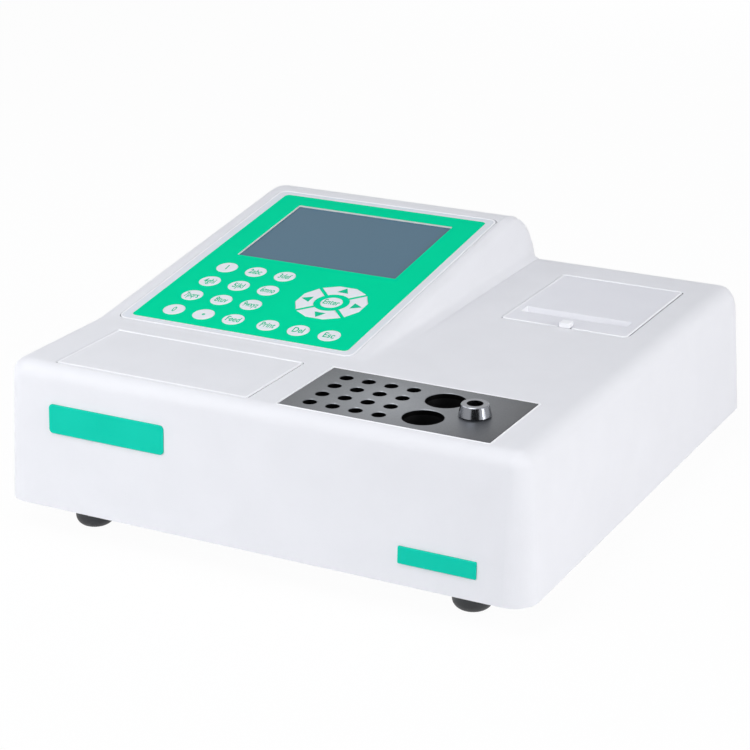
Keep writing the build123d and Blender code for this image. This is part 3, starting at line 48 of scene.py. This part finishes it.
# Camera: a long lens, slightly above the desk and to the right of the front, fitted to the photograph
camera_data = bpy.data.cameras.new("camera")
camera_data.lens = 105.63
camera_data.sensor_width = 36.0
camera_data.shift_x = -0.02504
camera_data.shift_y = -0.02156
camera_data.clip_start = 0.05
camera_data.clip_end = 50.0
camera = bpy.data.objects.new("camera", camera_data)
camera.location = (0.5715, -1.11174, 0.52544)
camera.rotation_euler = (math.radians(70.23), 0.0, math.radians(27.162))
scene.collection.objects.link(camera)
scene.camera = camera


def softbox(name, place, aim, width, height, power, colour=(1.0, 1.0, 1.0), mirrored=True):
    """A rectangular studio lamp that looks from its place at a point, in metres and watts."""
    data = bpy.data.lights.new(name, "AREA")
    data.shape = "RECTANGLE"
    data.size = width
    data.size_y = height
    data.energy = power
    data.color = colour
    lamp = bpy.data.objects.new(name, data)
    lamp.visible_camera = False
    lamp.visible_glossy = mirrored
    lamp.location = place
    lamp.rotation_euler = (Vector(aim) - Vector(place)).to_track_quat("-Z", "Y").to_euler()
    scene.collection.objects.link(lamp)


# The lamps above are a little bluer, so that level faces look cooler than upright ones
SKYLIGHT = (0.965, 0.98, 1.0)
# The lamps in front and behind stay out of reflections, so that polished metal shows the white room
softbox("front_left_softbox", (-0.85, -1.25, 0.5), (-0.05, -0.1, 0.05), 0.8, 0.7, 7.5, mirrored=False)
# A low lamp behind lights the rear panel and hardly grazes the deck
softbox("rear_softbox", (-0.4, 2.3, 0.3), (0.0, 0.1, 0.06), 0.9, 0.5, 15.0, mirrored=False)
softbox("side_softbox", (2.3, -0.18, 0.82), (0.0, 0.0, 0.05), 0.7, 1.1, 32.0)
softbox("top_front_softbox", (0.0, -0.9, 1.9), (0.0, 0.0, 0.1), 1.2, 1.2, 9.8, SKYLIGHT)
softbox("near_top_softbox", (-0.15, -0.75, 1.1), (0.0, 0.0, 0.1), 0.8, 0.6, 3.5, SKYLIGHT)
softbox("top_left_softbox", (-1.2, -0.2, 1.2), (0.0, 0.0, 0.1), 1.0, 0.8, 3.8, SKYLIGHT)


def linear(colour):
    """An sRGB colour written as six hex digits, in linear light."""
    parts = [int(colour[i:i + 2], 16) / 255 for i in (0, 2, 4)]
    return tuple(p / 12.92 if p <= 0.04045 else ((p + 0.055) / 1.055) ** 2.4 for p in parts) + (1.0,)


def add(tree, kind, settings=None, values=None, links=None):
    """Adds a node with its settings, its sockets' values and what feeds them."""
    node = tree.nodes.new(kind)
    for name, value in (settings or {}).items():
        setattr(node, name, value)
    for name, value in (values or {}).items():
        node.inputs[name].default_value = value
    for name, socket in (links or {}).items():
        tree.links.new(socket, node.inputs[name])
    return node


# Sockets of a Mix node: its two numbers, its two colours and the mixed colour
NUMBERS, COLOURS, MIXED = (2, 3), (6, 7), 2


def start(name):
    """A new material and its empty node tree."""
    material = bpy.data.materials.new(name)
    material.use_nodes = True
    material.node_tree.nodes.clear()
    return material, material.node_tree


def close(tree, shader):
    """Joins a shader to the material's output."""
    add(tree, "ShaderNodeOutputMaterial", links={"Surface": shader.outputs[0]})


def surface(name, light, dark, roughness, grain, depth,
            cloud=25.0, stretch=(1, 1, 1), speckle=0.0, shine=0.5, **values):
    """A grained surface between a light and a dark shade.

    Grain and cloud are sizes in mm, and depth is the grain's height in mm. Stretch repeats the grain more
    or less often along each axis. Speckle is the share of the shade that follows the grain and not the
    cloud, and shine is the specular level.
    """
    material, tree = start(name)
    place = add(tree, "ShaderNodeTexCoord").outputs["Object"]
    placed = add(tree, "ShaderNodeMapping", values={"Scale": stretch}, links={"Vector": place}).outputs[0]
    fine = add(tree, "ShaderNodeTexNoise", links={"Vector": placed},
               values={"Scale": 1 / (grain * MM), "Detail": 3.0, "Roughness": 0.6}).outputs["Fac"]
    broad = add(tree, "ShaderNodeTexNoise", links={"Vector": place},
                values={"Scale": 1 / (cloud * MM), "Detail": 2.0}).outputs["Fac"]
    shade = add(tree, "ShaderNodeMix", values={"Factor": speckle},
                links=dict(zip(NUMBERS, (broad, fine)))).outputs[0]
    colour = add(tree, "ShaderNodeMix", {"data_type": "RGBA"},
                 dict(zip(COLOURS, (linear(light), linear(dark)))), {"Factor": shade}).outputs[MIXED]
    # The grain's noise mostly lies between 0.3 and 0.7
    gloss = add(tree, "ShaderNodeMapRange", links={"Value": fine},
                values={"From Min": 0.3, "From Max": 0.7,
                        "To Min": roughness * 0.9, "To Max": roughness * 1.1}).outputs[0]
    bump = add(tree, "ShaderNodeBump", links={"Height": fine},
               values={"Strength": 1.0, "Distance": depth * MM}).outputs[0]
    close(tree, add(tree, "ShaderNodeBsdfPrincipled", values={"Specular IOR Level": shine, **values},
                    links={"Base Color": colour, "Roughness": gloss, "Normal": bump}))
    return material


# ABS moulded in a spark-eroded tool: a fine even grain that spreads each highlight
housing_abs = surface("spark_textured_abs", "F0F0F3", "EBEBEE", 0.55, 0.9, 0.05, shine=0.12)
# The lid is moulded alike, but its upright walls, the paper slot's among them, are painted whiter: painted
# light, so that they look lit
lid_abs = surface("spark_textured_lid_abs", "F0F0F4", "EBEBF0", 0.55, 0.9, 0.05, shine=0.12)
# The same ABS, moulded smooth: the desk's frame is a little greyer and shinier
frame_abs = surface("smooth_abs", "E6E9EE", "E2E5EB", 0.4, 0.6, 0.004, shine=0.12)
# The same ABS again on the latch and the beads round the openings: polished in the tool, and painted the
# whitest as a painted highlight, so that they look lit
painted_highlight_abs = surface("polished_abs_painted_highlight", "FDFDFF", "FAFAFD", 0.35, 0.6, 0.003, shine=0.2)
# Polyester film printed from behind: satin green that stays even over the desk
overlay_film = surface("printed_polyester_film", "00E0A5", "00DAA0", 0.5, 0.5, 0.003, shine=0.01)
# Key caps under the same film: pale, slightly cool and satin
key_film = surface("pale_key_film", "F0F1F5", "ECEDF2", 0.45, 0.5, 0.003, shine=0.1)
# Printing ink on the keys: the film's green, a little deeper and as satin
legend_ink = surface("green_printing_ink", "00CB98", "00C08F", 0.5, 0.3, 0.002, shine=0.05)
# Domed resin on a green plate: a wet gloss over the colour
badge_resin = surface("domed_resin_on_green", "12D2B6", "00C8AB", 0.3, 1.5, 0.004, shine=0.04,
                      **{"Coat Weight": 0.08, "Coat Roughness": 0.06})
# Anodised aluminium, bead-blasted first: dull grey metal that darkens towards grazing light
incubator_finish = surface("grey_anodised_aluminium", "A2A5AA", "7C7F84", 0.4, 0.7, 0.012,
                           cloud=40.0, speckle=0.4, Metallic=0.75)
# Black anodised aluminium: the wells go dark a few millimetres down
block_finish = surface("black_anodised_aluminium", "0B0B0D", "070709", 0.45, 0.5, 0.006, Metallic=0.3)
# Milled aluminium, left bright: fine tool marks along the part
milled_aluminium = surface("milled_aluminium", "C4C7CA", "B4B7BB", 0.35, 0.4, 0.004,
                           stretch=(1, 12, 12), Metallic=1.0)
# Brushed aluminium sheet: long thin scratches along the panel
brushed_sheet = surface("brushed_aluminium_sheet", "C9CCCF", "BEC1C4", 0.38, 0.5, 0.006,
                        stretch=(0.04, 1, 1), Metallic=1.0)
# Zinc-plated steel: bluish and slightly blotched
zinc_steel = surface("zinc_plated_steel", "B9BEC4", "A6ABB2", 0.36, 0.7, 0.004, cloud=12.0, Metallic=1.0)
# Turned stainless steel: bright, with hair-fine turning marks round the axis
turned_steel = surface("turned_stainless_steel", "8E9096", "808288", 0.2, 0.35, 0.001,
                       stretch=(1, 1, 10), Metallic=1.0)
# Moulded nylon and ABS in black: satin, with a soft grain
black_nylon = surface("black_moulded_nylon", "1B1C1F", "141517", 0.42, 0.7, 0.012)
# Moulded black rubber, painted dull dark grey: a painted sheen, lighter than the rubber is, as a black foot
# looks in bright light
foot_rubber = surface("black_moulded_rubber", "434447", "2C2D2F", 0.5, 0.9, 0.02, cloud=14.0)
# Silicone heater pad: brick red with a pressed weave
silicone_pad = surface("silicone_heater_mat", "8A3A22", "7A301B", 0.6, 0.8, 0.03)
# Fibreglass board under green lacquer: glossy, with the darker tint of the copper below
board_lacquer = surface("lacquered_circuit_board", "0C5B35", "08462A", 0.28, 1.2, 0.01, cloud=4.0)


def recolour(material, share, colour):
    """Gives a finish another colour, as far as a share from 0 to 1 says."""
    tree = material.node_tree
    shader = next(node for node in tree.nodes if node.type == "BSDF_PRINCIPLED")
    base = shader.inputs["Base Color"]
    plain, other = COLOURS
    mixed = add(tree, "ShaderNodeMix", {"data_type": "RGBA"}, {other: linear(colour)},
                {"Factor": share, plain: base.links[0].from_socket})
    tree.links.new(mixed.outputs[MIXED], base)


def paint_reflection_falloff(material, middle, width, colour):
    """Paints a finish darker away from a place, over a width in mm: a painted reflection, lightest at the
    place.
    """
    tree = material.node_tree
    place = add(tree, "ShaderNodeTexCoord").outputs["Object"]
    away = add(tree, "ShaderNodeVectorMath", {"operation": "DISTANCE"},
               {1: tuple(c * MM for c in middle)}, {0: place}).outputs["Value"]
    share = add(tree, "ShaderNodeMapRange", values={"From Min": 0.0, "From Max": width * MM},
                links={"Value": away})
    recolour(material, share.outputs[0], colour)


def paint_shade_below(material, height):
    """Paints a finish black below a height in mm: painted shade in the bores and gaps."""
    tree = material.node_tree
    place = add(tree, "ShaderNodeTexCoord").outputs["Object"]
    level = add(tree, "ShaderNodeSeparateXYZ", links={"Vector": place}).outputs["Z"]
    below = add(tree, "ShaderNodeMapRange", links={"Value": level},
                values={"From Min": height * MM, "From Max": (height - 0.05) * MM})
    recolour(material, below.outputs[0], "08080A")


ALL_OVER = ((-500.0, 500.0),) * 3


def tint_walls_or_paint_light_and_shade(material, colour, box=ALL_OVER):
    """Gives another colour to the faces that stand upright, inside a box of spans in mm: used for a real
    tint and for painted light and painted shade.
    """
    tree = material.node_tree
    place = add(tree, "ShaderNodeTexCoord").outputs["Object"]
    sides = add(tree, "ShaderNodeSeparateXYZ", links={"Vector": place}).outputs
    facing = add(tree, "ShaderNodeNewGeometry").outputs["True Normal"]
    upward = add(tree, "ShaderNodeSeparateXYZ", links={"Vector": facing}).outputs["Z"]
    share = add(tree, "ShaderNodeMapRange", values={"From Min": 0.6, "From Max": 0.4},
                links={"Value": upward}).outputs[0]
    for side, (low, high) in zip(sides, box):
        inside = add(tree, "ShaderNodeMath", {"operation": "COMPARE"},
                     {1: (low + high) / 2 * MM, 2: (high - low) / 2 * MM}, {0: side}).outputs[0]
        share = add(tree, "ShaderNodeMath", {"operation": "MULTIPLY"},
                    links={0: share, 1: inside}).outputs[0]
    recolour(material, share, colour)


# Painted reflection: the plate is painted lightest round the wells and darker towards its ends, as a
# softbox's sheen would fall on it
paint_reflection_falloff(incubator_finish, (66.0, -126.0, DECK), 93.0, "2A2C30")
# Painted shade: holes and gaps are painted dark this far up, just under the rounded edges of the deck
GAP_TOP = DECK - 0.4
paint_shade_below(incubator_finish, GAP_TOP)
# The film's cut edges show its pale core
tint_walls_or_paint_light_and_shade(overlay_film, "F6F5EF")
# Painted light: the lid's upright walls are painted whiter than the casing
tint_walls_or_paint_light_and_shade(lid_abs, "FDFDFF")
# Painted shadow: the frame's sides, which stand in its groove, are painted dark where the groove's shade
# falls
tint_walls_or_paint_light_and_shade(frame_abs, "38342F")
# Painted light: the walls of the frame's window are painted pale, so that they look lit
tint_walls_or_paint_light_and_shade(frame_abs, "F6F5EF", ((-140.0, 5.0), (-70.0, 120.0), (90.0, 140.0)))
# Painted shade: the walls in the gaps round the plates and the lid are painted dark as well
tint_walls_or_paint_light_and_shade(housing_abs, "4A453F", ((-150.0, 150.0), (-158.5, 158.5), (60.0, GAP_TOP)))


# Thermal paper on a roll: the ends show the wound layers as rings, drawn 2 mm apart so that they show
def wound_paper():
    material, tree = start("wound_thermal_paper")
    place = add(tree, "ShaderNodeTexCoord").outputs["Object"]
    centred = add(tree, "ShaderNodeMapping", values={"Location": (-0.0984, -0.0900, -0.0745)},
                  links={"Vector": place}).outputs[0]
    rings = add(tree, "ShaderNodeTexWave", {"wave_type": "RINGS", "rings_direction": "X"},
                {"Scale": 160.0, "Distortion": 0.6, "Detail": 2.0}, {"Vector": centred}).outputs["Fac"]
    colour = add(tree, "ShaderNodeMix", {"data_type": "RGBA"},
                 dict(zip(COLOURS, (linear("F4F3EE"), linear("E6E4DC")))), {"Factor": rings}).outputs[MIXED]
    bump = add(tree, "ShaderNodeBump", values={"Strength": 0.6, "Distance": 0.03 * MM},
               links={"Height": rings}).outputs[0]
    close(tree, add(tree, "ShaderNodeBsdfPrincipled", values={"Roughness": 0.55},
                    links={"Base Color": colour, "Normal": bump}))
    return material


# Liquid crystal display, switched off: slate blue, with dots drawn 2 mm apart so that they just show
def display_glass():
    material, tree = start("liquid_crystal_display")
    place = add(tree, "ShaderNodeTexCoord").outputs["Object"]
    across, along = (
        add(tree, "ShaderNodeTexWave", {"bands_direction": axis}, {"Scale": 150.0}, {"Vector": place})
        for axis in "XY")
    dots = add(tree, "ShaderNodeMath", {"operation": "MULTIPLY"},
               links={0: across.outputs["Fac"], 1: along.outputs["Fac"]}).outputs[0]
    colour = add(tree, "ShaderNodeMix", {"data_type": "RGBA"},
                 dict(zip(COLOURS, (linear("51778D"), linear("567D94")))), {"Factor": dots}).outputs[MIXED]
    close(tree, add(tree, "ShaderNodeBsdfPrincipled", values={"Roughness": 0.3},
                    links={"Base Color": colour}))
    return material


# Clear acrylic pane: a faint slate tint and a sharp, weak reflection, smeared by wiping
def clear_pane():
    material, tree = start("clear_acrylic_pane")
    place = add(tree, "ShaderNodeTexCoord").outputs["Object"]
    smears = add(tree, "ShaderNodeTexNoise", values={"Scale": 60.0, "Detail": 2.0},
                 links={"Vector": place}).outputs["Fac"]
    gloss = add(tree, "ShaderNodeMapRange", values={"To Min": 0.1, "To Max": 0.2},
                links={"Value": smears}).outputs[0]
    close(tree, add(tree, "ShaderNodeBsdfPrincipled", links={"Roughness": gloss},
                    values={"Base Color": linear("52788E"), "Alpha": 0.85, "IOR": 1.49,
                            "Specular IOR Level": 0.15}))
    return material


finishes = {
    housing_abs: ["upper_housing", "blank_plate"],
    lid_abs: ["printer_lid"],
    painted_highlight_abs: ["lid_latch"],
    frame_abs: ["control_frame"],
    overlay_film: ["membrane_overlay"],
    badge_resin: ["badge_left", "badge_right"],
    incubator_finish: ["incubator_plate"],
    block_finish: ["heating_block"],
    milled_aluminium: ["print_head"],
    brushed_sheet: ["rear_panel"],
    zinc_steel: ["base_plate", "serial_port", "screws", "stirrer_motor", "temperature_sensor"],
    turned_steel: ["measuring_collar", "stirrer_magnet", "lid_hinge_pin"],
    black_nylon: ["fan_frame", "fan_rotor", "power_inlet", "power_switch", "fuse_drawer",
                  "optical_detector", "printer_tub", "paper_spindle"],
    foot_rubber: ["foot_front_left", "foot_front_right", "foot_rear_left", "foot_rear_right",
                  "platen_roller"],
    silicone_pad: ["heater_pad"],
    board_lacquer: ["main_board", "power_supply", "keypad_board"],
    wound_paper(): ["paper_roll"],
    display_glass(): ["lcd_module"],
    clear_pane(): ["display_window"],
    key_film: [name for name in nodes if name.startswith("key_")],
}
for material, names in finishes.items():
    for name in names:
        nodes[name].data.materials.clear()
        nodes[name].data.materials.append(material)

# Places on the deck, and on the desk: x across, y back or up the slope, z out of it
deck = Matrix.Translation((0.0, 0.0, DECK * MM))
desk = Matrix.Translation((0.0, DESK_FRONT * MM, DECK * MM)) @ Matrix.Rotation(DESK_SLOPE, 4, "X")


def on_key(across, along):
    """A place on top of a key, across and up the desk in mm."""
    return desk @ Matrix.Translation((across * MM, along * MM, KEY_TOP))


def settle(piece, name, place, material, body):
    """Puts a finished piece's place into its mesh, and gives it its name, material and body."""
    piece.data.transform(place)
    piece.name = name
    piece.data.materials.clear()
    piece.data.materials.append(material)
    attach(piece, body)
    piece.select_set(False)


def lettering(words):
    """Letters about the origin, leaning back a little, as a thin closed mesh."""
    bpy.ops.object.select_all(action="DESELECT")
    bpy.ops.object.text_add()
    text = bpy.context.object
    text.data.body = words
    text.data.size = 8.4 * MM
    text.data.shear = -0.1
    text.data.align_x = "CENTER"
    text.data.align_y = "CENTER"
    text.data.extrude = INK / 2
    text.data.resolution_u = 4
    # The print is bolder than the font
    text.data.offset = 0.13 * MM
    bpy.ops.object.convert(target="MESH")
    bpy.ops.object.mode_set(mode="EDIT")
    bpy.ops.mesh.select_all(action="SELECT")
    bpy.ops.mesh.remove_doubles(threshold=1e-7)
    bpy.ops.object.mode_set(mode="OBJECT")
    return bpy.context.object


def printed_shape(corners, radius, steps):
    """A low disc of ink with so many corners, a radius in mm and an edge rounded in so many steps."""
    bpy.ops.object.select_all(action="DESELECT")
    bpy.ops.mesh.primitive_cylinder_add(vertices=corners, radius=radius * MM, depth=INK)
    bpy.ops.object.mode_set(mode="EDIT")
    bpy.ops.mesh.select_all(action="SELECT")
    bpy.ops.mesh.bevel(offset=INK / 3, segments=steps)
    bpy.ops.object.mode_set(mode="OBJECT")
    return bpy.context.object


# Printed legends of the round keys: words, place across and up the slope in mm, and their width
column, row = (-118.9, -98.2, -77.5), (22.5, 43.3, 64.1, 84.9)
legends = {
    "key_1": ("1", column[0], row[3], 1.3), "key_2": ("2abc", column[1], row[3], 8.8),
    "key_3": ("3def", column[2], row[3], 8.2), "key_4": ("4ghi", column[0], row[2], 8.0),
    "key_5": ("5jkl", column[1], row[2], 7.6), "key_6": ("6mno", column[2], row[2], 9.6),
    "key_7": ("7pqrs", column[0], row[1], 9.8), "key_8": ("8tuv", column[1], row[1], 8.4),
    "key_9": ("9wxyz", column[2], row[1], 10.2), "key_0": ("0", column[0], row[0], 2.2),
    "key_feed": ("Feed", column[2], row[0], 9.8), "key_print": ("Print", -53.8, row[0], 9.8),
    "key_delete": ("Del", -33.2, row[0], 7.6), "key_escape": ("Esc", -12.6, row[0], 7.8),
    "key_enter": ("Enter", *RING, 10.8),
}
for key, (words, across, along, width) in legends.items():
    piece = lettering(words)
    lowest = min(v.co.x for v in piece.data.vertices)
    highest = max(v.co.x for v in piece.data.vertices)
    squeeze = Matrix.Diagonal((width * MM / (highest - lowest), 1.0, 1.0, 1.0))
    centre = Matrix.Translation((-(lowest + highest) / 2, 0.0, 0.0))
    settle(piece, "legend_" + key, on_key(across, along) @ squeeze @ centre, legend_ink, key)

# Printed dot
settle(printed_shape(32, 1.1, 2), "legend_key_dot", on_key(column[1], row[0]),
       legend_ink, "key_dot")

# Printed arrows of the ring keys, which point outwards from its middle
for turn, key in enumerate(("key_up", "key_left", "key_down", "key_right")):
    outward = Matrix.Rotation(turn * math.pi / 2, 4, "Z") @ Matrix.Translation((0.0, 16.2 * MM, 0.0))
    settle(printed_shape(3, 4.3, 1), "legend_" + key, on_key(*RING) @ outward, legend_ink, key)


def open_front(loop, line, left, right):
    """Takes the stretch between left and right out of the side that a flat loop has in front of a line."""
    slack = 0.1 * MM
    for side in (left, right):
        bpy.ops.mesh.select_all(action="SELECT")
        bpy.ops.mesh.bisect(plane_co=(side, 0.0, 0.0), plane_no=(1.0, 0.0, 0.0))
    bpy.ops.mesh.select_all(action="DESELECT")
    bpy.ops.object.mode_set(mode="OBJECT")
    for edge in loop.data.edges:
        ends = [loop.data.vertices[i].co for i in edge.vertices]
        edge.select = all(end.y < line and left - slack < end.x < right + slack for end in ends)
    bpy.ops.object.mode_set(mode="EDIT")
    bpy.ops.mesh.select_mode(type="EDGE")
    bpy.ops.mesh.delete(type="EDGE")
    bpy.ops.mesh.select_mode(type="VERT")


def bead(name, box, corner, radius, place, body, notch=None):
    """A thin rounded bead, moulded along the inside of a box of left, right, front and back in mm.

    It is sunk until half its radius shows. A notch leaves its front side open between two places across.
    """
    left, right, front, back = (side * MM for side in box)
    radius = radius * MM
    inset = 2 * radius
    bpy.ops.object.select_all(action="DESELECT")
    bpy.ops.mesh.primitive_plane_add(size=1.0)
    piece = bpy.context.object
    middle = Matrix.Translation(((left + right) / 2, (front + back) / 2, radius * -0.5))
    piece.data.transform(middle @ Matrix.Diagonal((right - left - inset, back - front - inset, 1.0, 1.0)))
    bpy.ops.object.mode_set(mode="EDIT")
    bpy.ops.mesh.select_all(action="SELECT")
    bpy.ops.mesh.bevel(offset=corner * MM, segments=6, affect="VERTICES")
    bpy.ops.mesh.select_all(action="SELECT")
    bpy.ops.mesh.delete(type="ONLY_FACE")
    if notch:
        open_front(piece, front + inset, notch[0] * MM, notch[1] * MM)
    bpy.ops.object.mode_set(mode="OBJECT")
    bpy.ops.object.convert(target="CURVE")
    line = bpy.context.object.data
    line.bevel_depth = radius
    line.bevel_resolution = 2
    line.use_fill_caps = True
    bpy.ops.object.convert(target="MESH")
    bpy.ops.object.shade_smooth()
    settle(bpy.context.object, name, place, painted_highlight_abs, body)


# Beads round the printer lid, the blank plate, the incubator's opening and the desk's frame
bead("lid_bead", (58.4, 138.4, 29.8, 125.6), 1.5, 0.7, deck, "lid", (95.2, 103.8))
bead("blank_plate_bead", (-133.15, -8.15, -156.6, -93.5), 0.8, 0.75, deck, "casing")
bead("incubator_opening_bead", (9.6, 137.9, -157.7, -91.4), 1.2, 0.65, deck, "casing")
bead("frame_bead", (-147.05, 12.25, 2.9, 204.9), 5.0, 0.6, desk, "casing")


def seen(tree):
    """1 where the camera, a reflection or a clear pane looks at it."""
    path = add(tree, "ShaderNodeLightPath").outputs
    looked_at = path["Is Camera Ray"]
    for ray in ("Is Glossy Ray", "Is Transmission Ray"):
        looked_at = add(tree, "ShaderNodeMath", {"operation": "MAXIMUM"},
                        links={0: looked_at, 1: path[ray]}).outputs[0]
    return looked_at


# Floor: 16 m of pale paper that glows nearly white where it is seen, so that it keeps a soft shadow
GLOW_SHARE = 0.965
floor_paper, tree = start("white_background_paper")
share = add(tree, "ShaderNodeMath", {"operation": "MULTIPLY"}, {1: GLOW_SHARE}, {0: seen(tree)})
paper = add(tree, "ShaderNodeBsdfDiffuse", values={"Color": linear("F6F6F7")})
glow = add(tree, "ShaderNodeEmission", values={"Color": WHITE, "Strength": 1.0})
close(tree, add(tree, "ShaderNodeMixShader",
                links={"Fac": share.outputs[0], 1: paper.outputs[0], 2: glow.outputs[0]}))
bpy.ops.object.select_all(action="DESELECT")
bpy.ops.mesh.primitive_plane_add(size=16.0)
floor = bpy.context.object
floor.name = "floor"
floor.data.materials.append(floor_paper)

# A dark card beside the camera, 2.7 m by 1.8 m, seen only in reflections: it gives the polished ring
# its black band
card_paper, tree = start("matt_black_card")
close(tree, add(tree, "ShaderNodeBsdfDiffuse", values={"Color": linear("050505")}))
bpy.ops.object.select_all(action="DESELECT")
bpy.ops.mesh.primitive_plane_add(size=1.0)
card = bpy.context.object
card.name = "dark_card"
upright = Matrix.Rotation(math.radians(27.2), 4, "Z") @ Matrix.Rotation(math.radians(90), 4, "X")
card.data.transform(Matrix.Translation((1.15, -2.25, 0.2)) @ upright @ Matrix.Diagonal((2.7, 1.8, 1.0, 1.0)))
card.data.materials.append(card_paper)
card.visible_camera = False
card.visible_diffuse = False
card.visible_shadow = False
card.visible_transmission = False

# The room: a weak cool light from all round, and plain white wherever it is seen
ROOM_STRENGTH = 0.155
world = bpy.data.worlds.new("studio")
world.use_nodes = True
scene.world = world
tree = world.node_tree
tree.nodes.clear()
room = add(tree, "ShaderNodeBackground", values={"Color": linear("E2E7F7"), "Strength": ROOM_STRENGTH})
white = add(tree, "ShaderNodeBackground", values={"Color": WHITE, "Strength": 1.0})
blend = add(tree, "ShaderNodeMixShader", links={"Fac": seen(tree), 1: room.outputs[0], 2: white.outputs[0]})
add(tree, "ShaderNodeOutputWorld", links={"Surface": blend.outputs[0]})
